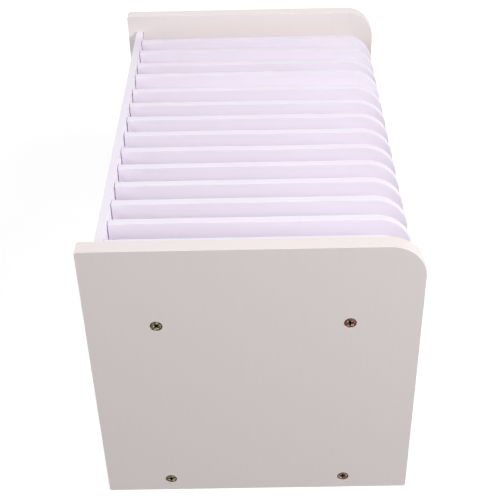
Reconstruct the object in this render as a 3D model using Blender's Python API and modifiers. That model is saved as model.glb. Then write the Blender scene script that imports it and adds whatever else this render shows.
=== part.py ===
"""Phone storage box: two end panels screwed to a base board and a shelf, with a back board held in
grooves and a row of upright dividers that are lapped through the shelf and stand in the base.

Metres, +Z up. The origin is on the ground under the middle of the box. +X runs along the row of slots.
-Y is the open front, where the panels and the dividers have their rounded corners.
"""

import math

import bmesh
import bpy

# Fits
FIT_GAP = 0.0003
CUT_OVERRUN = 0.002
MERGE_DISTANCE = 0.00001

# End panels
PANEL_DEPTH = 0.181
PANEL_HEIGHT = 0.1825
PANEL_THICKNESS = 0.009
PANEL_CORNER_RADIUS = 0.020
PANEL_EDGE_ROUNDING = 0.0005

# Row of slots
SLOT_COUNT = 15
SLOT_WIDTH = 0.014

# Dividers
DIVIDER_THICKNESS = 0.005
DIVIDER_TOP_DROP = 0.0125
DIVIDER_CORNER_RADIUS = 0.021
DIVIDER_EDGE_ROUNDING = 0.0003

# Base board and shelf
BOARD_FRONT_INSET = 0.0015
BOARD_EDGE_ROUNDING = 0.0004
BASE_LIFT = 0.005
BASE_THICKNESS = 0.009
BASE_GROOVE_DEPTH = 0.003
SHELF_TOP_DROP = 0.046
SHELF_THICKNESS = 0.009
SHELF_LAP_SHARE = 0.5

# Back board
BACK_THICKNESS = 0.005
BACK_INSET = 0.006
BACK_GROOVE_DEPTH = 0.004
BACK_EDGE_ROUNDING = 0.0004

# Screws
SCREW_EDGE_DISTANCE = 0.0384
SCREW_SINK = 0.0003
SCREW_HEAD_RADIUS = 0.0034
SCREW_HEAD_HALF_ANGLE = math.radians(45)
SCREW_RIM_HEIGHT = 0.0003
SCREW_SHANK_RADIUS = 0.00175
SCREW_POINT_LENGTH = 0.004
SCREW_TIP_COVER = 0.0021
RECESS_SPAN = 0.0038
RECESS_WIDTH = 0.0011
RECESS_DEPTH = 0.0017
RECESS_FLOOR_SHARE = 0.7

# How far each screw was left turned when it was driven home
SCREW_TURNS = {
    "left_shelf_rear_screw": math.radians(45),
    "left_shelf_front_screw": math.radians(4),
    "left_base_rear_screw": math.radians(-6),
    "left_base_front_screw": math.radians(2),
    "right_shelf_rear_screw": math.radians(20),
    "right_shelf_front_screw": math.radians(-35),
    "right_base_rear_screw": math.radians(12),
    "right_base_front_screw": math.radians(38),
}

# Fineness of the rounded shapes
CORNER_STEPS = 14
SCREW_SIDES = 28
SHARP_ANGLE = math.radians(30)

# Places along the row
INNER_LENGTH = SLOT_COUNT * SLOT_WIDTH + (SLOT_COUNT - 1) * DIVIDER_THICKNESS
INNER_X = INNER_LENGTH / 2
OUTER_X = INNER_X + PANEL_THICKNESS
BOARD_X = INNER_X - FIT_GAP
SLOT_PITCH = SLOT_WIDTH + DIVIDER_THICKNESS
FIRST_DIVIDER_X = -INNER_X + SLOT_WIDTH + DIVIDER_THICKNESS / 2

# Places from front to back
FRONT_Y = -PANEL_DEPTH / 2
REAR_Y = PANEL_DEPTH / 2
BOARD_FRONT_Y = FRONT_Y + BOARD_FRONT_INSET
BACK_REAR_Y = REAR_Y - BACK_INSET
BACK_FRONT_Y = BACK_REAR_Y - BACK_THICKNESS
BOARD_REAR_Y = BACK_FRONT_Y - FIT_GAP
LAP_Y = BOARD_FRONT_Y + SHELF_LAP_SHARE * (BOARD_REAR_Y - BOARD_FRONT_Y)

# Heights
BASE_TOP_Z = BASE_LIFT + BASE_THICKNESS
SHELF_TOP_Z = PANEL_HEIGHT - SHELF_TOP_DROP
SHELF_BOTTOM_Z = SHELF_TOP_Z - SHELF_THICKNESS
GROOVE_FLOOR_Z = BASE_TOP_Z - BASE_GROOVE_DEPTH
DIVIDER_BOTTOM_Z = GROOVE_FLOOR_Z + FIT_GAP
DIVIDER_TOP_Z = PANEL_HEIGHT - DIVIDER_TOP_DROP

# A screw's pilot hole ends short of the first lap, so its length follows the panel and the slot
PILOT_DEPTH = PANEL_THICKNESS + SLOT_WIDTH - FIT_GAP - SCREW_TIP_COVER - SCREW_SINK
SCREW_LENGTH = PILOT_DEPTH - FIT_GAP


def finish(name, colour, roughness, metallic):
    """A plain surface finish."""
    material = bpy.data.materials.new(name)
    material.use_nodes = True
    shader = material.node_tree.nodes["Principled BSDF"]
    shader.inputs["Base Color"].default_value = (*colour, 1)
    shader.inputs["Roughness"].default_value = roughness
    shader.inputs["Metallic"].default_value = metallic
    return material


def add_part(name, mesh, material):
    """One named sub-part with its finish, held by the box's own origin."""
    part = bpy.data.objects.new(name, mesh)
    parts.objects.link(part)
    part.parent = box_origin
    mesh.materials.clear()
    mesh.materials.append(material)
    return part


def add_cutter(name, mesh):
    """A shape that only takes material away."""
    cutter = bpy.data.objects.new(name, mesh)
    cutters.objects.link(cutter)
    cutter.hide_render = True
    cutter.display_type = "WIRE"
    return cutter


def cut(part, cutter):
    """Takes a cutter's shape out of a part."""
    boolean = part.modifiers.new("cut_" + cutter.name, "BOOLEAN")
    boolean.operation = "DIFFERENCE"
    boolean.object = cutter
    boolean.solver = "EXACT"


def round_edges(part, width, segments):
    """Takes the sharpness off a part's edges. Holes and grooves are cut afterwards."""
    rounding = part.modifiers.new("edge_rounding", "BEVEL")
    rounding.width = width
    rounding.segments = segments
    rounding.limit_method = "ANGLE"
    rounding.angle_limit = SHARP_ANGLE


def solid_mesh(name, source):
    """The mesh of an object with its modifiers worked out and its seams closed."""
    bpy.context.view_layer.update()
    depsgraph = bpy.context.evaluated_depsgraph_get()
    mesh = bpy.data.meshes.new_from_object(source.evaluated_get(depsgraph))
    mesh.name = name
    model = bmesh.new()
    model.from_mesh(mesh)
    bmesh.ops.remove_doubles(model, verts=model.verts, dist=MERGE_DISTANCE)
    model.to_mesh(mesh)
    model.free()
    mesh.shade_smooth()
    mesh.set_sharp_from_angle(angle=SHARP_ANGLE)
    return mesh


def plate_mesh(name, outline, thickness):
    """A flat plate cut to an outline of depth across and height up, standing in the plane X = 0."""
    curve = bpy.data.curves.new(name + "_outline", "CURVE")
    curve.dimensions = "2D"
    curve.fill_mode = "BOTH"
    curve.extrude = thickness / 2
    spline = curve.splines.new("POLY")
    spline.points.add(len(outline) - 1)
    for point, (depth, height) in zip(spline.points, outline):
        point.co = (depth, height, 0, 1)
    spline.use_cyclic_u = True
    drawing = bpy.data.objects.new(name + "_outline", curve)
    drawing.rotation_euler = (math.pi / 2, 0, math.pi / 2)
    parts.objects.link(drawing)
    mesh = solid_mesh(name, drawing)
    mesh.transform(drawing.matrix_world)
    bpy.data.objects.remove(drawing)
    bpy.data.curves.remove(curve)
    return mesh


def turned_blank(name, profile):
    """A profile of radius and height, listed from top to bottom, turned about the Z axis."""
    mesh = bpy.data.meshes.new(name)
    points = [(radius, 0, height) for radius, height in profile]
    mesh.from_pydata(points, [(step, step + 1) for step in range(len(points) - 1)], [])
    blank = bpy.data.objects.new(name, mesh)
    cutters.objects.link(blank)
    turning = blank.modifiers.new("turning", "SCREW")
    turning.steps = SCREW_SIDES
    turning.render_steps = SCREW_SIDES
    turning.use_merge_vertices = True
    turning.merge_threshold = MERGE_DISTANCE
    return blank


def block_mesh(name, low, high):
    """A rectangular block between its lowest and highest corner."""
    model = bmesh.new()
    bmesh.ops.create_cube(model, size=1)
    size = [top - bottom for bottom, top in zip(low, high)]
    middle = [(top + bottom) / 2 for bottom, top in zip(low, high)]
    bmesh.ops.scale(model, vec=size, verts=model.verts)
    bmesh.ops.translate(model, vec=middle, verts=model.verts)
    mesh = bpy.data.meshes.new(name)
    model.to_mesh(mesh)
    model.free()
    return mesh


def front_corner(front, top, radius):
    """Points of a rounded front top corner, from the front edge up to the top edge."""
    turns = [math.pi / 2 * step / CORNER_STEPS for step in range(CORNER_STEPS + 1)]
    return [
        (front + radius - radius * math.cos(turn), top - radius + radius * math.sin(turn))
        for turn in turns
    ]


def row_cutter(name, low, high):
    """A cut that is repeated at every divider, given at the first one."""
    cutter = add_cutter(name, block_mesh(name, low, high))
    row = cutter.modifiers.new("row", "ARRAY")
    row.count = SLOT_COUNT - 1
    row.use_relative_offset = False
    row.use_constant_offset = True
    row.constant_offset_displace = (SLOT_PITCH, 0, 0)
    return cutter


def make_end_panels():
    """The two end panels, each with a stopped groove for the back board in its inner face."""
    outline = [
        (REAR_Y, PANEL_HEIGHT),
        (REAR_Y, 0),
        (FRONT_Y, 0),
        *front_corner(FRONT_Y, PANEL_HEIGHT, PANEL_CORNER_RADIUS),
    ]
    mesh = plate_mesh("end_panel", outline, PANEL_THICKNESS)
    for end, side in (("left", -1), ("right", 1)):
        panel = add_part(end + "_end_panel", mesh, panel_finish)
        panel.location.x = side * (INNER_X + PANEL_THICKNESS / 2)
        round_edges(panel, PANEL_EDGE_ROUNDING, 2)
        reach = sorted((side * (INNER_X - CUT_OVERRUN), side * (INNER_X + BACK_GROOVE_DEPTH)))
        low = (reach[0], BACK_FRONT_Y - FIT_GAP, BASE_LIFT - FIT_GAP)
        high = (reach[1], BACK_REAR_Y + FIT_GAP, DIVIDER_TOP_Z + FIT_GAP)
        name = end + "_back_groove"
        cut(panel, add_cutter(name, block_mesh(name, low, high)))


def make_base_board():
    """The base board, with a groove from front to back for the foot of every divider."""
    low = (-BOARD_X, BOARD_FRONT_Y, BASE_LIFT)
    high = (BOARD_X, BOARD_REAR_Y, BASE_TOP_Z)
    base = add_part("base_board", block_mesh("base_board", low, high), panel_finish)
    round_edges(base, BOARD_EDGE_ROUNDING, 1)
    half_width = DIVIDER_THICKNESS / 2 + FIT_GAP
    low = (FIRST_DIVIDER_X - half_width, BOARD_FRONT_Y - CUT_OVERRUN, GROOVE_FLOOR_Z)
    high = (FIRST_DIVIDER_X + half_width, BOARD_REAR_Y + CUT_OVERRUN, BASE_TOP_Z + CUT_OVERRUN)
    cut(base, row_cutter("foot_grooves", low, high))


def make_shelf():
    """The shelf, with a lap cut in from its front edge for every divider."""
    low = (-BOARD_X, BOARD_FRONT_Y, SHELF_BOTTOM_Z)
    high = (BOARD_X, BOARD_REAR_Y, SHELF_TOP_Z)
    shelf = add_part("shelf", block_mesh("shelf", low, high), panel_finish)
    round_edges(shelf, BOARD_EDGE_ROUNDING, 1)
    half_width = DIVIDER_THICKNESS / 2 + FIT_GAP
    low = (
        FIRST_DIVIDER_X - half_width,
        BOARD_FRONT_Y - CUT_OVERRUN,
        SHELF_BOTTOM_Z - CUT_OVERRUN,
    )
    high = (FIRST_DIVIDER_X + half_width, LAP_Y + FIT_GAP / 2, SHELF_TOP_Z + CUT_OVERRUN)
    cut(shelf, row_cutter("shelf_laps", low, high))


def make_back_board():
    """The back board, whose ends sit in the end panels' grooves."""
    reach = INNER_X + BACK_GROOVE_DEPTH - FIT_GAP
    low = (-reach, BACK_FRONT_Y, BASE_LIFT)
    high = (reach, BACK_REAR_Y, DIVIDER_TOP_Z)
    back = add_part("back_board", block_mesh("back_board", low, high), sheet_finish)
    round_edges(back, BACK_EDGE_ROUNDING, 1)


def make_dividers():
    """The upright dividers, each notched from its rear edge to pass the uncut half of the shelf."""
    notch_y = LAP_Y - FIT_GAP / 2
    outline = [
        (BOARD_REAR_Y, DIVIDER_TOP_Z),
        (BOARD_REAR_Y, SHELF_TOP_Z + FIT_GAP),
        (notch_y, SHELF_TOP_Z + FIT_GAP),
        (notch_y, SHELF_BOTTOM_Z - FIT_GAP),
        (BOARD_REAR_Y, SHELF_BOTTOM_Z - FIT_GAP),
        (BOARD_REAR_Y, DIVIDER_BOTTOM_Z),
        (BOARD_FRONT_Y, DIVIDER_BOTTOM_Z),
        *front_corner(BOARD_FRONT_Y, DIVIDER_TOP_Z, DIVIDER_CORNER_RADIUS),
    ]
    mesh = plate_mesh("divider", outline, DIVIDER_THICKNESS)
    for index in range(SLOT_COUNT - 1):
        divider = add_part(f"divider_{index + 1:02d}", mesh, sheet_finish)
        divider.location.x = FIRST_DIVIDER_X + index * SLOT_PITCH
        round_edges(divider, DIVIDER_EDGE_ROUNDING, 1)


def screw_head_profile(clearance, top):
    """The rim and cone of a countersunk head, grown by a clearance all round."""
    head = SCREW_HEAD_RADIUS + clearance
    shank = SCREW_SHANK_RADIUS + clearance
    cone = (SCREW_HEAD_RADIUS - SCREW_SHANK_RADIUS) / math.tan(SCREW_HEAD_HALF_ANGLE)
    rim = -SCREW_RIM_HEIGHT - clearance * math.tan(SCREW_HEAD_HALF_ANGLE / 2)
    return [(0, top), (head, top), (head, rim), (shank, rim - cone)]


def recess_blade(name, turn):
    """One of the two crossing blades of the driver recess, narrower at its floor."""
    model = bmesh.new()
    bmesh.ops.create_cube(model, size=1)
    bmesh.ops.scale(model, vec=(RECESS_SPAN, RECESS_WIDTH, 2 * RECESS_DEPTH), verts=model.verts)
    floor = [vert for vert in model.verts if vert.co.z < 0]
    bmesh.ops.scale(model, vec=(RECESS_FLOOR_SHARE, RECESS_FLOOR_SHARE, 1), verts=floor)
    mesh = bpy.data.meshes.new(name)
    model.to_mesh(mesh)
    model.free()
    blade = add_cutter(name, mesh)
    blade.rotation_euler.z = turn
    return blade


def make_screws():
    """The countersunk screws, and the hole that each cuts through its panel into its board."""
    shank_end = (SCREW_SHANK_RADIUS, SCREW_POINT_LENGTH - SCREW_LENGTH)
    blank = turned_blank(
        "screw_blank",
        [*screw_head_profile(0, 0), shank_end, (0, -SCREW_LENGTH)],
    )
    cut(blank, recess_blade("recess_across", 0))
    cut(blank, recess_blade("recess_along", math.pi / 2))
    screw_mesh = solid_mesh("screw", blank)
    bpy.data.objects.remove(blank)

    pilot = SCREW_SHANK_RADIUS + FIT_GAP
    drill = turned_blank(
        "screw_drill",
        [*screw_head_profile(FIT_GAP, CUT_OVERRUN), (pilot, -PILOT_DEPTH), (0, -PILOT_DEPTH)],
    )
    drill_mesh = solid_mesh("screw_hole", drill)
    bpy.data.objects.remove(drill)

    heights = {
        "shelf": SHELF_TOP_Z - SHELF_THICKNESS / 2,
        "base": BASE_LIFT + BASE_THICKNESS / 2,
    }
    boards = {"shelf": parts.objects["shelf"], "base": parts.objects["base_board"]}
    depths = {"rear": REAR_Y - SCREW_EDGE_DISTANCE, "front": FRONT_Y + SCREW_EDGE_DISTANCE}
    for end, side in (("left", -1), ("right", 1)):
        panel = parts.objects[end + "_end_panel"]
        for board, height in heights.items():
            for place, depth in depths.items():
                name = f"{end}_{board}_{place}_screw"
                screw = add_part(name, screw_mesh, screw_finish)
                hole = add_cutter(name + "_hole", drill_mesh)
                for item in (screw, hole):
                    item.rotation_mode = "ZYX"
                    item.rotation_euler = (0, side * math.pi / 2, SCREW_TURNS[name])
                    item.location = (side * (OUTER_X - SCREW_SINK), depth, height)
                cut(panel, hole)
                cut(boards[board], hole)


for item in list(bpy.data.objects):
    bpy.data.objects.remove(item)

parts = bpy.data.collections.new("phone_storage_box")
cutters = bpy.data.collections.new("cutters")
bpy.context.scene.collection.children.link(parts)
bpy.context.scene.collection.children.link(cutters)
box_origin = bpy.data.objects.new("box_origin", None)
parts.objects.link(box_origin)

panel_finish = finish("painted_board", (0.80, 0.76, 0.75), 0.55, 0)
sheet_finish = finish("foam_sheet", (0.83, 0.79, 0.90), 0.50, 0)
screw_finish = finish("yellow_zinc", (0.42, 0.30, 0.16), 0.35, 1)

make_end_panels()
make_base_board()
make_shelf()
make_back_board()
make_dividers()
make_screws()
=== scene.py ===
"""Phone storage box: the finished pieces, their materials, the studio and the camera.

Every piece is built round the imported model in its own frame: metres, +Z up, +X along the row of slots,
and -Y the open front, where the panels and the dividers have their rounded corners.
"""

import math

import bmesh
import bpy
from mathutils import Matrix, Quaternion, Vector


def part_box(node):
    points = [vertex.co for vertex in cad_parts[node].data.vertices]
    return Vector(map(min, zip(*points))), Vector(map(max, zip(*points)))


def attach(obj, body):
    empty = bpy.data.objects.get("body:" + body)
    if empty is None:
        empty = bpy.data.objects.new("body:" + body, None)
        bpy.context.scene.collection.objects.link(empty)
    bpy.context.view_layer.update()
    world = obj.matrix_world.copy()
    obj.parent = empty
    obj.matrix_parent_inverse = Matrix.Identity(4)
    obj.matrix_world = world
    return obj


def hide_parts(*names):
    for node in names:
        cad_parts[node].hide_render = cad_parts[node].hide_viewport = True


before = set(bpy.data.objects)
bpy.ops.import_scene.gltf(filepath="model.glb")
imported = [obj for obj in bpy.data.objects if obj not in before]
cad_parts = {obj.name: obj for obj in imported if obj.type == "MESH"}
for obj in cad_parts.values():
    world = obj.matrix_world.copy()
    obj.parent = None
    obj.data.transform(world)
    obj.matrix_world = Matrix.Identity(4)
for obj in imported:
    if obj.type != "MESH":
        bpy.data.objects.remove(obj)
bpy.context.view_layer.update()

# Clearances and tolerances
FIT_GAP = 0.0003
OVERRUN = 0.002
MERGE_DISTANCE = 0.00001
SHARP_ANGLE = math.radians(30)
FLAT_ANGLE = 0.01

# End panels
PANEL_CORNER_RADIUS = 0.020
PANEL_CORNER_STEPS = 36
PANEL_OTHER_CORNER_RADIUS = 0.0016
PANEL_OTHER_CORNER_STEPS = 6
PANEL_ARRIS = 0.0003
PANEL_ARRIS_STEPS = 4

# Dividers
DIVIDER_COUNT = 14
DIVIDER_CORNER_RADIUS = 0.021
DIVIDER_CORNER_STEPS = 32
DIVIDER_ARRIS = 0.0003
DIVIDER_ARRIS_STEPS = 2
DIVIDER_REAR_REVEAL = 0.00015
LEAN_DEPTH_CUTS = 8
LEAN_HEIGHT_CUTS = 6

# How far the top of a divider leans along the row, at its rear and at its front
DIVIDER_LEANS = {
    "divider_14": (0.0014, 0.0026),
    "divider_13": (0.0026, 0.0024),
    "divider_12": (0.0014, 0.0004),
    "divider_11": (0.0035, 0.0042),
    "divider_10": (0.0009, 0.0004),
    "divider_09": (0.0005, -0.0006),
    "divider_08": (0.0008, -0.0003),
    "divider_07": (0.0005, -0.0006),
    "divider_06": (0.0004, -0.0005),
}

# Base board, shelf and back board
BOARD_ARRIS = 0.0004
BOARD_ARRIS_STEPS = 2

# Screws
SCREW_STEPS = 48
SCREW_HEAD_RADIUS = 0.0033
COUNTERSINK_RADIUS = 0.00345
# The band of radii where a screw head's rim is darkened: painted shade of the gap round the head in its
# countersink
SCREW_SHADED_RIM = (0.00255, 0.00285)
SCREW_RIM_HEIGHT = 0.0003
SCREW_RIM_EASE = 0.00014
SCREW_SHANK_RADIUS = 0.00175
SCREW_HEAD_HALF_ANGLE = math.radians(45)
SCREW_POINT_LENGTH = 0.004
THREAD_PITCH = 0.0013
THREAD_CREST = 0.0019
THREAD_CORE = 0.0013
THREAD_RINGS = 96
RECESS_SPAN = 0.0038
RECESS_WIDTH = 0.0011
RECESS_DEPTH = 0.0017
RECESS_FLOOR_SHARE = 0.7
RECESS_HUB_RADIUS = 0.0008
RECESS_HUB_SIDES = 16

# How far each screw was left turned when it was driven home
SCREW_TURNS = {
    "left_shelf_rear_screw": math.radians(45),
    "left_shelf_front_screw": math.radians(4),
    "left_base_rear_screw": math.radians(-6),
    "left_base_front_screw": math.radians(2),
    "right_shelf_rear_screw": math.radians(20),
    "right_shelf_front_screw": math.radians(-35),
    "right_base_rear_screw": math.radians(12),
    "right_base_front_screw": math.radians(38),
}

# Patterns: fineness is in features per metre, and this part of a pattern is spread to its full range
PATTERN_START = 0.3
PATTERN_END = 0.7

# Painted board
BOARD_GRAIN_ACROSS = 900
BOARD_GRAIN_ALONG = 25
BOARD_GRAIN_DEPTH = 0.000010
BOARD_GRAIN_COLOURS = ((0.816, 0.747, 0.740), (0.832, 0.765, 0.759))
BOARD_CLOUDS = (14, 14, 14)
BOARD_CLOUD_COLOUR = (0.827, 0.753, 0.741)
BOARD_CLOUD_SHARE = 0.35
PAINT_PEEL = (650, 650, 650)
PAINT_PEEL_DEPTH = 0.000008
PAINT_ROUGHNESS = (0.52, 0.62)
PAINT_SPECULAR = 0.30

# Foamed sheet
SAW_LINES = (40, 1500, 1500)
SAW_DEPTH = 0.000012
CUT_EDGE_TURN = (0.2, 0.6)
SHEET_PORES = (2200, 2200, 2200)
SHEET_PORE_DEPTH = 0.000006
SHEET_PORE_RANGE = (0.35, 0.55)
SHEET_PORE_COLOUR = (0.838, 0.781, 0.879)
SHEET_PORE_SHARE = 0.25
SHEET_CLOUDS = (18, 18, 18)
SHEET_CLOUD_COLOURS = ((0.866, 0.811, 0.903), (0.876, 0.823, 0.911))
SHEET_ROUGHNESS = (0.54, 0.66)
SHEET_SPECULAR = 0.30

# Zinc on the screws: its colours at the painted highlights, on the body, and at the rim in painted shade
ZINC_OLIVE = ((0.46, 0.415, 0.290), (0.090, 0.075, 0.042), (0.045, 0.036, 0.022))
ZINC_BRONZE = ((0.54, 0.390, 0.300), (0.115, 0.056, 0.036), (0.070, 0.030, 0.020))
# Fineness of the patches that carry the painted highlights, and also the zinc's roughness and bump
ZINC_HIGHLIGHT_PATCHES = (260, 1000, 1000)
ZINC_HIGHLIGHT_PATCH_DEPTH = 0.00004
# Where the patches of painted highlight on the zinc set in
ZINC_HIGHLIGHT_RANGE = (0.50, 0.64)
ZINC_POLISH_RANGE = (0.40, 0.62)
ZINC_ROUGHNESS = (0.50, 0.36)
TURNING_PITCH = 0.00022
TURNING_DEPTH = 0.000005
# Near-black painted shade in the driver recess, and the share of the recess depth over which it sets in
RECESS_SHADE = (0.014, 0.007, 0.002)
RECESS_SHADE_RANGE = (0.0, 0.1)

# Camera
CAMERA_PLACE = Vector((-0.56256, -0.00482, 0.49012))
CAMERA_AIM = Vector((-0.02529, 0.00228, 0.08993))
CAMERA_ROLL = -0.02616
CAMERA_LENS = 73.3
CAMERA_SENSOR = 36

# Studio: each softbox has a place, an aim, a side length and a power
ROOM_LIGHT = 0.167
SOFTBOXES = {
    "near_corner_softbox": ((-0.80, -1.00, 0.95), (-0.05, 0.00, 0.10), 0.80, 19.5),
    "rear_corner_softbox": ((-2.09, 1.92, 2.14), (0.00, 0.00, 0.10), 1.90, 38.5),
    "open_side_softbox": ((0.10, -2.80, 0.80), (0.00, 0.00, 0.10), 1.60, 15.0),
    "rear_softbox": ((0.00, 2.80, 0.80), (0.00, 0.00, 0.10), 1.60, 53.0),
    "far_end_softbox": ((3.00, 0.00, 0.80), (0.00, 0.00, 0.10), 1.60, 28.0),
}
FLOOR_SIZE = 6.0
FLOOR_SHADE = 0.42
FLOOR_BOUNCE = 0.06
FLOOR_GLOW_NEAR = 0.70
FLOOR_GLOW_FAR = 1.0
FLOOR_GLOW_START = 0.35
FLOOR_GLOW_END = 0.9


# Node helpers


def add_node(tree, kind, inputs=None, **settings):
    """One node of a tree with its settings and its own input values."""
    node = tree.nodes.new(kind)
    for name, value in settings.items():
        setattr(node, name, value)
    for name, value in (inputs or {}).items():
        node.inputs[name].default_value = value
    return node


def new_material(name):
    """An empty node material with its shader and the object's own coordinates."""
    material = bpy.data.materials.new(name)
    material.use_nodes = True
    tree = material.node_tree
    shader = tree.nodes["Principled BSDF"]
    place = add_node(tree, "ShaderNodeTexCoord").outputs["Object"]
    return material, tree, shader, place


def stretched_noise(tree, place, scales, detail, roughness=0.5):
    """Noise whose grain has its own fineness, in features per metre, along each axis."""
    mapping = add_node(tree, "ShaderNodeMapping", {"Scale": scales})
    tree.links.new(place, mapping.inputs["Vector"])
    noise = add_node(
        tree,
        "ShaderNodeTexNoise",
        {"Scale": 1.0, "Detail": detail, "Roughness": roughness},
    )
    tree.links.new(mapping.outputs["Vector"], noise.inputs["Vector"])
    return noise.outputs["Fac"]


def spread(tree, value, low, high, start=PATTERN_START, end=PATTERN_END):
    """A pattern's values spread between a low and a high number."""
    remap = add_node(
        tree,
        "ShaderNodeMapRange",
        {"From Min": start, "From Max": end, "To Min": low, "To Max": high},
    )
    tree.links.new(value, remap.inputs["Value"])
    return remap.outputs["Result"]


def blend_colours(tree, factor, first, second):
    """A colour between two others, by a factor."""
    mix = add_node(tree, "ShaderNodeMix", data_type="RGBA")
    colours = [socket for socket in mix.inputs if socket.type == "RGBA"]
    for socket, value in zip(colours, (first, second)):
        if isinstance(value, bpy.types.NodeSocket):
            tree.links.new(value, socket)
        else:
            socket.default_value = (*value, 1)
    tree.links.new(factor, mix.inputs["Factor"])
    return next(socket for socket in mix.outputs if socket.type == "RGBA")


def on_cut_edges(tree):
    """1 on the cut edges of an upright plate that is thin along the row, and 0 on its two faces."""
    normal = add_node(tree, "ShaderNodeNewGeometry").outputs["Normal"]
    parts = add_node(tree, "ShaderNodeSeparateXYZ")
    tree.links.new(normal, parts.inputs["Vector"])
    facing = add_node(tree, "ShaderNodeMath", operation="ABSOLUTE")
    tree.links.new(parts.outputs["X"], facing.inputs[0])
    return spread(tree, facing.outputs[0], 1, 0, *CUT_EDGE_TURN)


def add_bump(tree, shader, heights):
    """A chain of bumps, each given as a pattern, its depth in metres and where it shows."""
    normal = None
    for value, depth, strength in heights:
        bump = add_node(tree, "ShaderNodeBump", {"Strength": 1.0, "Distance": depth})
        if strength:
            tree.links.new(strength, bump.inputs["Strength"])
        tree.links.new(value, bump.inputs["Height"])
        if normal:
            tree.links.new(normal, bump.inputs["Normal"])
        normal = bump.outputs["Normal"]
    tree.links.new(normal, shader.inputs["Normal"])


# Materials


def painted_board(name, grain):
    """Warm white satin paint on board, with the board's grain just showing along one axis."""
    material, tree, shader, place = new_material(name)
    fineness = [BOARD_GRAIN_ALONG if axis == grain else BOARD_GRAIN_ACROSS for axis in range(3)]
    fibres = stretched_noise(tree, place, fineness, detail=4, roughness=0.6)
    clouds = stretched_noise(tree, place, BOARD_CLOUDS, detail=2)
    peel = stretched_noise(tree, place, PAINT_PEEL, detail=2)
    fibre_colour = blend_colours(tree, spread(tree, fibres, 0, 1), *BOARD_GRAIN_COLOURS)
    cloud_tone = spread(tree, clouds, 0, BOARD_CLOUD_SHARE)
    colour = blend_colours(tree, cloud_tone, fibre_colour, BOARD_CLOUD_COLOUR)
    tree.links.new(colour, shader.inputs["Base Color"])
    tree.links.new(spread(tree, peel, *PAINT_ROUGHNESS), shader.inputs["Roughness"])
    shader.inputs["Specular IOR Level"].default_value = PAINT_SPECULAR
    bumps = [(fibres, BOARD_GRAIN_DEPTH, None), (peel, PAINT_PEEL_DEPTH, None)]
    add_bump(tree, shader, bumps)
    return material


def foam_sheet(name):
    """Lilac white foamed plastic sheet: a fine matt grain on its faces and saw lines on its edges."""
    material, tree, shader, place = new_material(name)
    saw = stretched_noise(tree, place, SAW_LINES, detail=3, roughness=0.6)
    pores = stretched_noise(tree, place, SHEET_PORES, detail=2)
    clouds = stretched_noise(tree, place, SHEET_CLOUDS, detail=2)
    soft_colour = blend_colours(tree, spread(tree, clouds, 0, 1), *SHEET_CLOUD_COLOURS)
    pore_tone = spread(tree, pores, SHEET_PORE_SHARE, 0, *SHEET_PORE_RANGE)
    colour = blend_colours(tree, pore_tone, soft_colour, SHEET_PORE_COLOUR)
    tree.links.new(colour, shader.inputs["Base Color"])
    tree.links.new(spread(tree, pores, *SHEET_ROUGHNESS), shader.inputs["Roughness"])
    shader.inputs["Specular IOR Level"].default_value = SHEET_SPECULAR
    bumps = [(saw, SAW_DEPTH, on_cut_edges(tree)), (pores, SHEET_PORE_DEPTH, None)]
    add_bump(tree, shader, bumps)
    return material


def plated_steel(name, highlight_colour, body, rim):
    """Yellow zinc on a turned steel screw, with painted shade at the rim and in the driver recess, and
    painted highlights in random patches.
    """
    material, tree, shader, place = new_material(name)
    radius = add_node(tree, "ShaderNodeAttribute", attribute_name="turned_radius").outputs["Fac"]
    highlight_patches = stretched_noise(tree, place, ZINC_HIGHLIGHT_PATCHES, detail=2, roughness=0.6)
    # Painted highlights in random patches on the body colour
    face = blend_colours(tree, spread(tree, highlight_patches, 0, 1, *ZINC_HIGHLIGHT_RANGE), body, highlight_colour)
    # Painted shade round the rim of the head, for the gap round it in its countersink
    plated = blend_colours(tree, spread(tree, radius, 0, 1, *SCREW_SHADED_RIM), face, rim)
    depth = add_node(tree, "ShaderNodeAttribute", attribute_name="recess_depth").outputs["Fac"]
    # Near-black painted shade in the driver recess
    recess_shade = spread(tree, depth, 0, 1, *RECESS_SHADE_RANGE)
    colour = blend_colours(tree, recess_shade, plated, RECESS_SHADE)
    tree.links.new(colour, shader.inputs["Base Color"])
    polish = spread(tree, highlight_patches, *ZINC_ROUGHNESS, *ZINC_POLISH_RANGE)
    tree.links.new(polish, shader.inputs["Roughness"])
    shader.inputs["Metallic"].default_value = 1
    fineness = 2 * math.pi / TURNING_PITCH
    phase = add_node(tree, "ShaderNodeMath", {1: fineness}, operation="MULTIPLY")
    rings = add_node(tree, "ShaderNodeMath", operation="SINE")
    tree.links.new(radius, phase.inputs[0])
    tree.links.new(phase.outputs[0], rings.inputs[0])
    bumps = [(rings.outputs[0], TURNING_DEPTH, None), (highlight_patches, ZINC_HIGHLIGHT_PATCH_DEPTH, None)]
    add_bump(tree, shader, bumps)
    return material


# Shapes


def block(low, high):
    """A rectangular block between its lowest and highest corner."""
    model = bmesh.new()
    bmesh.ops.create_cube(model, size=1)
    size = Vector(high) - Vector(low)
    bmesh.ops.scale(model, vec=size, verts=model.verts)
    bmesh.ops.translate(model, vec=(Vector(high) + Vector(low)) / 2, verts=model.verts)
    return model


def slice_across(model, direction, cuts):
    """Saws through the whole model, without parting it, at each place along one axis."""
    normal = Vector((0, 0, 0))
    normal[direction] = 1
    for cut in cuts:
        bmesh.ops.bisect_plane(
            model,
            geom=model.verts[:] + model.edges[:] + model.faces[:],
            dist=MERGE_DISTANCE,
            plane_co=normal * cut,
            plane_no=normal,
        )


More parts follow.
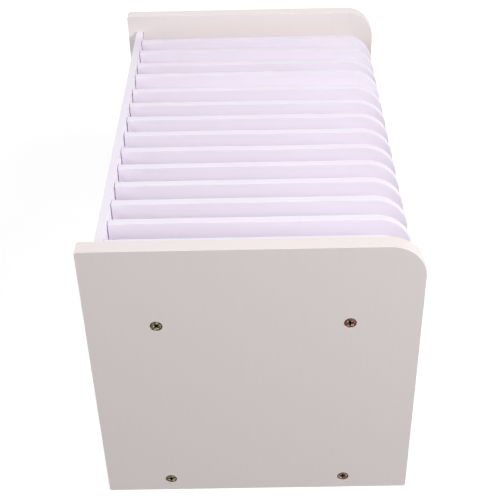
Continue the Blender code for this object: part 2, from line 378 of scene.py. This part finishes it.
def sawn_plate(low, high, thin, windows=()):
    """A plate that is thin along one axis, with rectangular windows sawn right through it."""
    across, up = [axis for axis in range(3) if axis != thin]
    model = bmesh.new()
    bmesh.ops.create_grid(model, x_segments=1, y_segments=1, size=0.5)
    for vert in model.verts:
        place = Vector(low)
        place[across] += (vert.co.x + 0.5) * (high[across] - low[across])
        place[up] += (vert.co.y + 0.5) * (high[up] - low[up])
        vert.co = place
    for axis in (across, up):
        edges = {edge for window in windows for edge in (window[0][axis], window[1][axis])}
        slice_across(model, axis, sorted(e for e in edges if low[axis] < e < high[axis]))
    waste = [
        face
        for face in model.faces
        for window in windows
        if all(window[0][a] < face.calc_center_median()[a] < window[1][a] for a in (across, up))
    ]
    bmesh.ops.delete(model, geom=waste, context="FACES")
    bmesh.ops.dissolve_limit(model, angle_limit=FLAT_ANGLE, verts=model.verts, edges=model.edges)
    raised = bmesh.ops.extrude_face_region(model, geom=model.faces[:])
    shift = Vector((0, 0, 0))
    shift[thin] = high[thin] - low[thin]
    lifted = [item for item in raised["geom"] if isinstance(item, bmesh.types.BMVert)]
    bmesh.ops.translate(model, vec=shift, verts=lifted)
    bmesh.ops.recalc_face_normals(model, faces=model.faces)
    return model


def is_across(edge):
    """Whether an edge runs through the thickness of an upright plate."""
    first, second = (vert.co for vert in edge.verts)
    return abs(first.y - second.y) + abs(first.z - second.z) < MERGE_DISTANCE


def bevel(model, edges, width, steps):
    """Rounds some edges of a model."""
    bmesh.ops.bevel(
        model,
        geom=edges,
        offset=width,
        offset_type="OFFSET",
        segments=steps,
        profile=0.5,
        affect="EDGES",
        material=-1,
        clamp_overlap=False,
    )


def round_front_corner(model, radius, steps):
    """Rounds the corner between the front edge and the top edge of an upright plate."""
    corner = min(
        (edge for edge in model.edges if is_across(edge)),
        key=lambda edge: edge.verts[0].co.y - edge.verts[0].co.z,
    )
    bevel(model, [corner], radius, steps)


def sharp_edges(model):
    """The edges where two surfaces meet at an angle."""
    return [
        edge
        for edge in model.edges
        if len(edge.link_faces) == 2 and edge.calc_face_angle(0) > SHARP_ANGLE
    ]


def ease_edges(model, width, steps):
    """Takes the sharpness off every edge of a model."""
    bevel(model, sharp_edges(model), width, steps)


def loose_object(name, model):
    """A model as an object of its own, for the time that it is being worked on."""
    mesh = bpy.data.meshes.new(name)
    model.to_mesh(mesh)
    model.free()
    item = bpy.data.objects.new(name, mesh)
    bpy.context.scene.collection.objects.link(item)
    return item


def carved(model, cutters):
    """The model with the shapes of the cutters taken out of it."""
    blank = loose_object("blank", model)
    tools = [loose_object("cutter", cutter) for cutter in cutters]
    for tool in tools:
        cut = blank.modifiers.new("carving", "BOOLEAN")
        cut.operation = "DIFFERENCE"
        cut.object = tool
        cut.solver = "EXACT"
    bpy.context.view_layer.update()
    depsgraph = bpy.context.evaluated_depsgraph_get()
    mesh = bpy.data.meshes.new_from_object(blank.evaluated_get(depsgraph))
    result = bmesh.new()
    result.from_mesh(mesh)
    bpy.data.meshes.remove(mesh)
    for item in (blank, *tools):
        old = item.data
        bpy.data.objects.remove(item)
        bpy.data.meshes.remove(old)
    bmesh.ops.remove_doubles(result, verts=result.verts, dist=MERGE_DISTANCE)
    return result


def add_piece(name, model, material, node):
    """A finished piece that stands for a CAD node and rides on the box."""
    mesh = bpy.data.meshes.new(name)
    model.to_mesh(mesh)
    model.free()
    mesh.materials.append(material)
    mesh.shade_smooth()
    mesh.set_sharp_from_angle(angle=SHARP_ANGLE)
    piece = bpy.data.objects.new(name, mesh)
    bpy.context.scene.collection.objects.link(piece)
    flats = piece.modifiers.new("flat_faces_stay_flat", "WEIGHTED_NORMAL")
    flats.keep_sharp = True
    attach(piece, "root")
    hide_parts(node)
    return piece


# Screws


def screw_names(end="", board=""):
    """The screws of one end, of one board, or of both."""
    return [name for name in SCREW_TURNS if name.startswith(end) and board in name]


def screw_placing(name):
    """The matrix that takes an upright screw, head at the origin, to its hole."""
    low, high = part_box(name)
    side = -1 if name.startswith("left") else 1
    head_x = low.x if side < 0 else high.x
    place = Vector((head_x, (low.y + high.y) / 2, (low.z + high.z) / 2))
    return (
        Matrix.Translation(place)
        @ Matrix.Rotation(side * math.pi / 2, 4, "Y")
        @ Matrix.Rotation(SCREW_TURNS[name], 4, "Z")
    )


def turned(profile, steps, extra_rings=0):
    """A line of radius and height, listed from top to bottom, turned about the Z axis.

    The longest stretch of the line can be given extra rings."""
    model = bmesh.new()
    verts = [model.verts.new((radius, 0, height)) for radius, height in profile]
    edges = [model.edges.new(pair) for pair in zip(verts, verts[1:])]
    if extra_rings:
        longest = max(edges, key=lambda edge: edge.calc_length())
        bmesh.ops.subdivide_edges(model, edges=[longest], cuts=extra_rings)
    bmesh.ops.spin(
        model,
        geom=model.verts[:] + model.edges[:],
        cent=(0, 0, 0),
        axis=(0, 0, 1),
        angle=2 * math.pi,
        steps=steps,
        use_merge=True,
    )
    bmesh.ops.remove_doubles(model, verts=model.verts, dist=MERGE_DISTANCE)
    bmesh.ops.recalc_face_normals(model, faces=model.faces)
    return model


def screw_length():
    """The length of a screw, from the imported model."""
    low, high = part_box("left_shelf_rear_screw")
    return high.x - low.x


def head_cone(head, shank, top):
    """The rim and cone of a countersunk head or of its hole."""
    cone = (head - shank) / math.tan(SCREW_HEAD_HALF_ANGLE)
    return [
        (0, top),
        (head, top),
        (head, -SCREW_RIM_HEIGHT),
        (shank, -SCREW_RIM_HEIGHT - cone),
    ]


def screw_drill(name):
    """The countersunk hole of a screw, as the shape that a drill takes away."""
    pilot = SCREW_SHANK_RADIUS + FIT_GAP
    depth = screw_length() + FIT_GAP
    profile = [*head_cone(COUNTERSINK_RADIUS, pilot, OVERRUN), (pilot, -depth), (0, -depth)]
    drill = turned(profile, SCREW_STEPS)
    bmesh.ops.transform(drill, matrix=screw_placing(name), verts=drill.verts)
    return drill


def recess_tools():
    """The two crossing blades and the hub that press the driver recess into a head."""
    tools = []
    for turn in (0, math.pi / 2):
        blade = block(
            (-RECESS_SPAN / 2, -RECESS_WIDTH / 2, -RECESS_DEPTH),
            (RECESS_SPAN / 2, RECESS_WIDTH / 2, RECESS_DEPTH),
        )
        floor = [vert for vert in blade.verts if vert.co.z < 0]
        shrink = (RECESS_FLOOR_SHARE, RECESS_FLOOR_SHARE, 1)
        bmesh.ops.scale(blade, vec=shrink, verts=floor)
        bmesh.ops.rotate(blade, matrix=Matrix.Rotation(turn, 3, "Z"), verts=blade.verts)
        tools.append(blade)
    hub = turned(
        [
            (0, RECESS_DEPTH),
            (RECESS_HUB_RADIUS * (2 - RECESS_FLOOR_SHARE), RECESS_DEPTH),
            (RECESS_HUB_RADIUS * RECESS_FLOOR_SHARE, -RECESS_DEPTH),
            (0, -RECESS_DEPTH * (1 + RECESS_FLOOR_SHARE / 2)),
        ],
        RECESS_HUB_SIDES,
    )
    return [*tools, hub]


def cut_thread(model, start, end):
    """Draws the shank's surface in and out along a helix, fading towards the head and the point."""
    for vert in model.verts:
        radius = math.hypot(vert.co.x, vert.co.y)
        if not end < vert.co.z < start or radius < MERGE_DISTANCE:
            continue
        turn = math.atan2(vert.co.y, vert.co.x) / (2 * math.pi)
        share = (vert.co.z / THREAD_PITCH - turn) % 1
        tooth = 1 - abs(2 * share - 1)
        wanted = THREAD_CORE + (THREAD_CREST - THREAD_CORE) * tooth
        fade = min(1, (start - vert.co.z) / THREAD_PITCH, (vert.co.z - end) / THREAD_PITCH)
        scale = (radius + (wanted - radius) * fade) / radius
        vert.co.x *= scale
        vert.co.y *= scale


def screw_model():
    """An upright countersunk screw with a threaded shank and a driver recess, head at the origin."""
    length = screw_length()
    cone = head_cone(SCREW_HEAD_RADIUS, SCREW_SHANK_RADIUS, 0)
    shank_start = cone[-1][1]
    shank_end = SCREW_POINT_LENGTH - length
    profile = [
        (0, 0),
        # Rings at the edges of the band of painted shade round the rim
        *((radius, 0) for radius in SCREW_SHADED_RIM),
        (SCREW_HEAD_RADIUS - SCREW_RIM_EASE, 0),
        (SCREW_HEAD_RADIUS, -SCREW_RIM_EASE),
        *cone[2:],
        (SCREW_SHANK_RADIUS, shank_end),
        (0, -length),
    ]
    screw = turned(profile, SCREW_STEPS, THREAD_RINGS)
    cut_thread(screw, shank_start, shank_end)
    screw = carved(screw, recess_tools())
    depth_layer = screw.verts.layers.float.new("recess_depth")
    radius_layer = screw.verts.layers.float.new("turned_radius")
    for vert in screw.verts:
        from_axis = math.hypot(vert.co.x, vert.co.y)
        in_recess = from_axis < RECESS_SPAN / 2 + MERGE_DISTANCE and vert.co.z > -2 * RECESS_DEPTH
        vert[depth_layer] = -vert.co.z / RECESS_DEPTH if in_recess else 0
        vert[radius_layer] = from_axis
    return screw


def make_screws():
    """Eight screws, each turned as it was left."""
    finishes = {
        "rear": plated_steel("yellow_zinc_olive", *ZINC_OLIVE),
        "front": plated_steel("yellow_zinc_bronze", *ZINC_BRONZE),
    }
    master = screw_model()
    for name in SCREW_TURNS:
        screw = master.copy()
        bmesh.ops.transform(screw, matrix=screw_placing(name), verts=screw.verts)
        finish = finishes["rear" if "rear" in name else "front"]
        add_piece("plated_" + name, screw, finish, name)
    master.free()


# Boards


def make_end_panels(finish):
    """Two end panels with a rounded front corner, a groove for the back board and screw holes."""
    back_low, back_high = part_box("back_board")
    gap = Vector((FIT_GAP, FIT_GAP, FIT_GAP))
    for end in ("left", "right"):
        node = end + "_end_panel"
        panel = sawn_plate(*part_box(node), 0)
        round_front_corner(panel, PANEL_CORNER_RADIUS, PANEL_CORNER_STEPS)
        other_corners = [edge for edge in sharp_edges(panel) if is_across(edge)]
        bevel(panel, other_corners, PANEL_OTHER_CORNER_RADIUS, PANEL_OTHER_CORNER_STEPS)
        ease_edges(panel, PANEL_ARRIS, PANEL_ARRIS_STEPS)
        groove = block(back_low - gap, back_high + gap)
        holes = [screw_drill(name) for name in screw_names(end)]
        add_piece("painted_" + node, carved(panel, [groove, *holes]), finish, node)


def divider_nodes():
    """The dividers' names, from the left end panel to the right one."""
    return [f"divider_{number:02d}" for number in range(1, DIVIDER_COUNT + 1)]


def divider_windows(low, high):
    """A window round each divider's place, grown by the fit, between two heights or depths."""
    windows = []
    for node in divider_nodes():
        divider_low, divider_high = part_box(node)
        window_low, window_high = Vector(low), Vector(high)
        window_low.x = divider_low.x - FIT_GAP
        window_high.x = divider_high.x + FIT_GAP
        windows.append((window_low, window_high))
    return windows


def make_base_board(finish):
    """The base board, with a groove from front to back for the foot of every divider."""
    low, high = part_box("base_board")
    groove_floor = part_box("divider_01")[0].z - FIT_GAP
    grooves = divider_windows((0, low.y, groove_floor), (0, high.y, high.z + OVERRUN))
    base = sawn_plate(low, high, 1, grooves)
    ease_edges(base, BOARD_ARRIS, BOARD_ARRIS_STEPS)
    base = carved(base, [screw_drill(name) for name in screw_names(board="base")])
    add_piece("painted_base_board", base, finish, "base_board")


def make_shelf(finish):
    """The shelf, with a lap cut in from its front edge for every divider."""
    low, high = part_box("shelf")
    lap_end = (low.y + high.y) / 2 + FIT_GAP / 2
    laps = divider_windows((0, low.y - OVERRUN, low.z), (0, lap_end, high.z))
    shelf = sawn_plate(low, high, 2, laps)
    ease_edges(shelf, BOARD_ARRIS, BOARD_ARRIS_STEPS)
    shelf = carved(shelf, [screw_drill(name) for name in screw_names(board="shelf")])
    add_piece("painted_shelf", shelf, finish, "shelf")


def make_back_board(finish):
    """The back board, held by its ends in the end panels' grooves."""
    back = sawn_plate(*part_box("back_board"), 1)
    ease_edges(back, BOARD_ARRIS, BOARD_ARRIS_STEPS)
    add_piece("sheet_back_board", back, finish, "back_board")


def lean(model, rear_lean, front_lean, foot):
    """Leans a divider along the row above the shelf, upright again at its top."""
    rear = max(vert.co.y for vert in model.verts)
    front = min(vert.co.y for vert in model.verts)
    top = max(vert.co.z for vert in model.verts)
    for vert in model.verts:
        rise = max(0, (vert.co.z - foot) / (top - foot))
        share = (vert.co.y - rear) / (front - rear)
        sway = rise * rise * (3 - 2 * rise)
        vert.co.x += (rear_lean + (front_lean - rear_lean) * share) * sway


def even_cuts(start, end, count):
    """Places that part a stretch evenly."""
    return [start + (end - start) * (step + 1) / (count + 1) for step in range(count)]


def make_dividers(finish):
    """The upright dividers, each notched from its rear edge to pass the uncut half of the shelf."""
    shelf_low, shelf_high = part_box("shelf")
    notch_end = (shelf_low.y + shelf_high.y) / 2 - FIT_GAP / 2
    for node in divider_nodes():
        low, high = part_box(node)
        high = high - Vector((0, DIVIDER_REAR_REVEAL, 0))
        notch = (
            (0, notch_end, shelf_low.z - FIT_GAP),
            (0, high.y + OVERRUN, shelf_high.z + FIT_GAP),
        )
        divider = sawn_plate(low, high, 0, [notch])
        round_front_corner(divider, DIVIDER_CORNER_RADIUS, DIVIDER_CORNER_STEPS)
        ease_edges(divider, DIVIDER_ARRIS, DIVIDER_ARRIS_STEPS)
        if node in DIVIDER_LEANS:
            slice_across(divider, 2, even_cuts(shelf_high.z, high.z, LEAN_HEIGHT_CUTS))
            slice_across(divider, 1, even_cuts(low.y, high.y, LEAN_DEPTH_CUTS))
            lean(divider, *DIVIDER_LEANS[node], shelf_high.z)
        add_piece("sheet_" + node, divider, finish, node)


# Studio


def make_camera():
    """The camera at the photograph's own place."""
    data = bpy.data.cameras.new("photo_camera")
    data.lens = CAMERA_LENS
    data.sensor_width = CAMERA_SENSOR
    camera = bpy.data.objects.new("photo_camera", data)
    aim = (CAMERA_AIM - CAMERA_PLACE).to_track_quat("-Z", "Y")
    camera.location = CAMERA_PLACE
    camera.rotation_euler = (aim @ Quaternion((0, 0, 1), CAMERA_ROLL)).to_euler()
    bpy.context.scene.collection.objects.link(camera)
    bpy.context.scene.camera = camera


def make_softboxes():
    """Square softboxes round the box."""
    for name, (place, aim, size, power) in SOFTBOXES.items():
        data = bpy.data.lights.new(name, "AREA")
        data.size = size
        data.energy = power
        lamp = bpy.data.objects.new(name, data)
        lamp.location = place
        lamp.rotation_euler = (Vector(aim) - Vector(place)).to_track_quat("-Z", "Y").to_euler()
        lamp.visible_camera = False
        bpy.context.scene.collection.objects.link(lamp)


def seen_directly(tree):
    """1 for a ray from the camera, a reflection or a refraction, and 0 for a ray of plain light."""
    path = add_node(tree, "ShaderNodeLightPath").outputs
    first = add_node(tree, "ShaderNodeMath", operation="MAXIMUM")
    second = add_node(tree, "ShaderNodeMath", operation="MAXIMUM")
    tree.links.new(path["Is Camera Ray"], first.inputs[0])
    tree.links.new(path["Is Glossy Ray"], first.inputs[1])
    tree.links.new(first.outputs[0], second.inputs[0])
    tree.links.new(path["Is Transmission Ray"], second.inputs[1])
    return second.outputs[0]


def make_world():
    """A white room that lights the box softly."""
    world = bpy.data.worlds.new("white_room")
    world.use_nodes = True
    bpy.context.scene.world = world
    tree = world.node_tree
    tree.nodes.clear()
    backdrop = add_node(tree, "ShaderNodeBackground", {"Color": (1, 1, 1, 1), "Strength": 1.0})
    fill = add_node(tree, "ShaderNodeBackground", {"Color": (1, 1, 1, 1), "Strength": ROOM_LIGHT})
    mix = add_node(tree, "ShaderNodeMixShader")
    output = add_node(tree, "ShaderNodeOutputWorld")
    tree.links.new(seen_directly(tree), mix.inputs[0])
    tree.links.new(fill.outputs[0], mix.inputs[1])
    tree.links.new(backdrop.outputs[0], mix.inputs[2])
    tree.links.new(mix.outputs[0], output.inputs["Surface"])


def make_floor():
    """A plain floor that the camera sees as white, with the box's own soft shadow on it."""
    material = bpy.data.materials.new("studio_floor")
    material.use_nodes = True
    tree = material.node_tree
    tree.nodes.clear()
    seen = seen_directly(tree)
    matt = add_node(tree, "ShaderNodeBsdfDiffuse")
    shade = spread(tree, seen, FLOOR_BOUNCE, FLOOR_SHADE, 0, 1)
    tree.links.new(shade, matt.inputs["Color"])
    place = add_node(tree, "ShaderNodeTexCoord").outputs["Object"]
    distance = add_node(tree, "ShaderNodeVectorMath", operation="LENGTH")
    tree.links.new(place, distance.inputs[0])
    reach = spread(
        tree,
        distance.outputs["Value"],
        FLOOR_GLOW_NEAR,
        FLOOR_GLOW_FAR,
        FLOOR_GLOW_START,
        FLOOR_GLOW_END,
    )
    strength = add_node(tree, "ShaderNodeMath", operation="MULTIPLY")
    tree.links.new(reach, strength.inputs[0])
    tree.links.new(seen, strength.inputs[1])
    glow = add_node(tree, "ShaderNodeEmission", {"Color": (1, 1, 1, 1)})
    tree.links.new(strength.outputs[0], glow.inputs["Strength"])
    both = add_node(tree, "ShaderNodeAddShader")
    output = add_node(tree, "ShaderNodeOutputMaterial")
    tree.links.new(matt.outputs[0], both.inputs[0])
    tree.links.new(glow.outputs[0], both.inputs[1])
    tree.links.new(both.outputs[0], output.inputs["Surface"])

    model = bmesh.new()
    bmesh.ops.create_grid(model, x_segments=1, y_segments=1, size=FLOOR_SIZE / 2)
    floor = loose_object("studio_floor", model)
    floor.data.materials.append(material)


make_camera()
make_world()
make_softboxes()
make_floor()

sheet = foam_sheet("foam_sheet_finish")
make_end_panels(painted_board("painted_upright_board", 2))
level_board = painted_board("painted_level_board", 0)
make_base_board(level_board)
make_shelf(level_board)
make_back_board(sheet)
make_dividers(sheet)
make_screws()

bpy.context.scene.view_settings.view_transform = "Standard"
